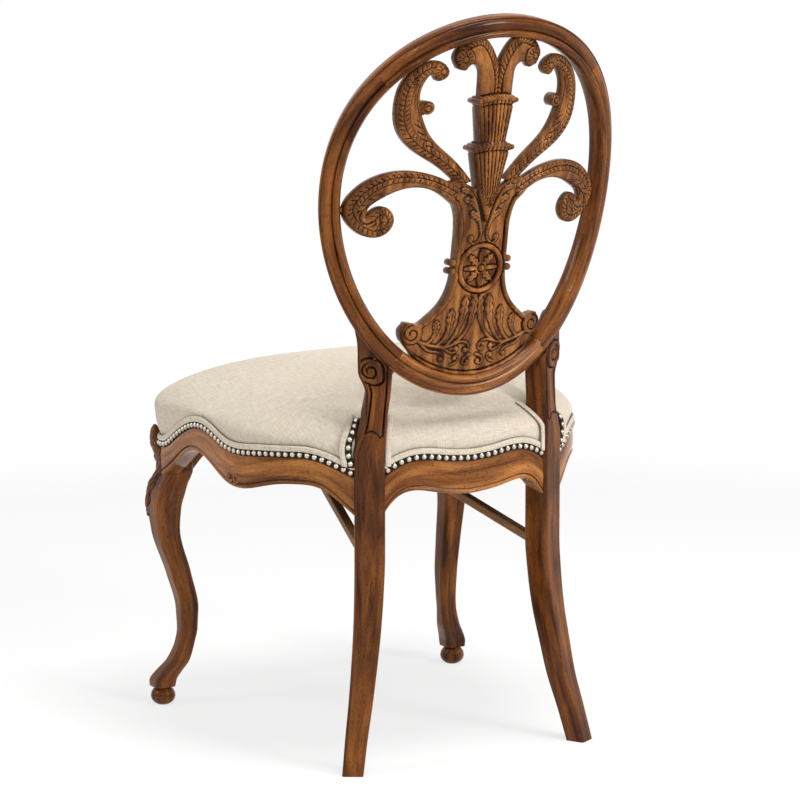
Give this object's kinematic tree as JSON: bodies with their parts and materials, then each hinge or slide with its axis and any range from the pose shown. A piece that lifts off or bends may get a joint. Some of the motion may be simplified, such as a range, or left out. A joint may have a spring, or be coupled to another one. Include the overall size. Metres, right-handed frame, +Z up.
{
  "type": "oval back side chair",
  "caption": "Carved wooden side chair with an open oval back, cabriole front legs on ball feet, sweeping rear legs and a crowned upholstered seat edged with nails.",
  "frame": {"origin": "on the floor, below the centre of the chair's bounding box", "axes": "+Z up; the chair faces -Y, so the oval back is at +Y; +X is the sitter's left"},
  "size_m": [0.5452, 0.5941, 1.0635],
  "materials": {
    "show_wood": "walnut with a satin lacquer and a dark glaze left in the carving",
    "inner_wood": "bare sawn beech",
    "seat_fabric": "plain oatmeal linen",
    "seat_foam": "open-cell foam",
    "webbing": "woven jute",
    "dust_cloth": "black cambric",
    "nail_strip": "dark woven tape",
    "nail_heads": "antiqued domed heads, bright on top and dark in the gaps",
    "screws": "zinc plated"
  },
  "bodies": {
    "root": {"back_rail": "show_wood", "ball_foot_left": "show_wood", "ball_foot_right": "show_wood", "block_screws": "screws", "brace_left": "show_wood", "brace_right": "show_wood", "corner_block_front_left": "inner_wood", "corner_block_front_right": "inner_wood", "corner_block_rear_left": "inner_wood", "corner_block_rear_right": "inner_wood", "dust_cover": "dust_cloth", "foot_dowels": "inner_wood", "front_leg_left": "show_wood", "front_leg_right": "show_wood", "front_rail": "show_wood", "nail_strip_back": "nail_strip", "nail_strip_front": "nail_strip", "nail_strip_left": "nail_strip", "nail_strip_right": "nail_strip", "nails_back": "nail_heads", "nails_front": "nail_heads", "nails_left": "nail_heads", "nails_right": "nail_heads", "oval_crest": "show_wood", "oval_dowels": "inner_wood", "oval_shoe": "show_wood", "oval_stile_left": "show_wood", "oval_stile_right": "show_wood", "post_dowels": "inner_wood", "rail_dowels": "inner_wood", "rear_leg_left": "show_wood", "rear_leg_right": "show_wood", "seat_cover": "seat_fabric", "seat_foam": "seat_foam", "seat_webbing": "webbing", "side_rail_left": "show_wood", "side_rail_right": "show_wood", "splat_centre_board": "show_wood", "splat_dowels": "inner_wood", "splat_wing_left": "show_wood", "splat_wing_right": "show_wood", "welt_back": "seat_fabric", "welt_front": "seat_fabric", "welt_left": "seat_fabric", "welt_right": "seat_fabric"}
  },
  "joints": []
}
